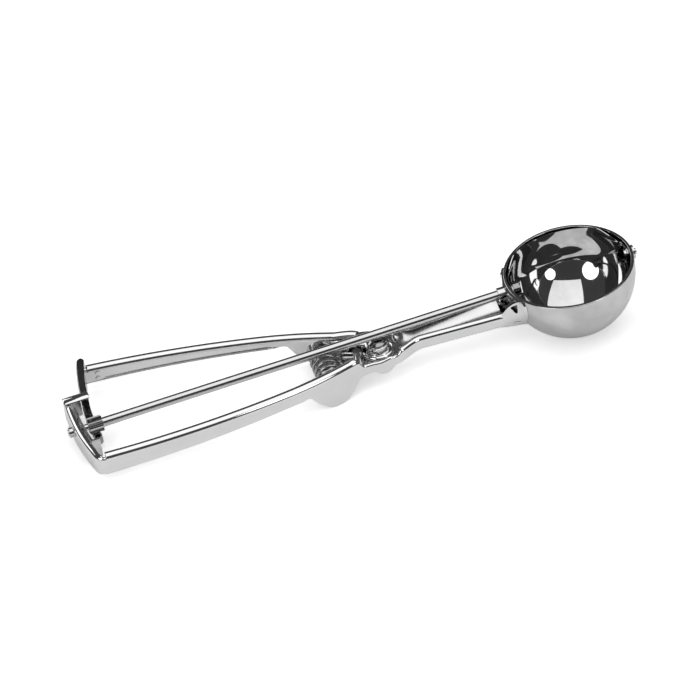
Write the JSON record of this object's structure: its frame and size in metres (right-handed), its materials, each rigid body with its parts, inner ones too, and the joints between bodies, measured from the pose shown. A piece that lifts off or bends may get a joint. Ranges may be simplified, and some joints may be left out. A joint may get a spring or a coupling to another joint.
{
  "type": "lever ice cream scoop",
  "caption": "Ice cream scoop with a round steel bowl whose curved scraper turns when a spring-loaded lever is squeezed against the fixed grip.",
  "frame": {"origin": "centre of the bowl's sphere, on the axis of the drive rod", "axes": "X along the drive rod with the bowl's far side at +X and the handle towards -X, +Y towards the lever, +Z out of the bowl's mouth"},
  "size_m": [0.245, 0.0677, 0.0315],
  "materials": {
    "polished_bowl": "mirror-polished stainless steel",
    "polished_steel": "polished stainless steel",
    "satin_steel": "satin stainless steel",
    "rack_steel": "stamped stainless steel",
    "spring_wire": "drawn spring wire"
  },
  "bodies": {
    "handle": {"bowl": "polished_bowl", "neck_bracket": "polished_steel", "handle_frame": "polished_steel", "rack_guide": "satin_steel", "rear_rod_bush": "satin_steel", "front_rod_bush": "satin_steel", "trunnion_bush": "satin_steel", "pivot_rivet": "satin_steel", "pivot_washers": "satin_steel", "stop_pin": "satin_steel", "fixed_spring_seat": "satin_steel", "return_spring": "spring_wire"},
    "lever": {"lever_handle": "polished_steel", "lever_bush": "satin_steel", "rack": "rack_steel", "rack_rivets": "satin_steel", "lever_spring_seat": "satin_steel"},
    "rod": {"drive_rod": "polished_steel", "pinion": "rack_steel", "pinion_pin": "satin_steel", "rod_end_cap": "satin_steel", "scraper_hub": "satin_steel", "scraper_blade": "polished_bowl", "scraper_trunnion": "satin_steel"}
  },
  "joints": [
    {"name": "lever_squeeze", "type": "hinge", "parent": "handle", "child": "lever", "pos_m": [-0.084, 0, 0], "axis": [0, 0, 1], "range_deg": [0, 3.7], "stiffness_Nm_per_rad": 2, "springref_deg": -5.73, "deforming": ["return_spring"]},
    {"name": "scraper_turn", "type": "hinge", "parent": "handle", "child": "rod", "pos_m": [0, 0, 0], "axis": [1, 0, 0], "range_deg": [-160.5, 0]}
  ],
  "couplings": [
    {"joint": "scraper_turn", "follows": "lever_squeeze", "ratio": -43.214}
  ]
}
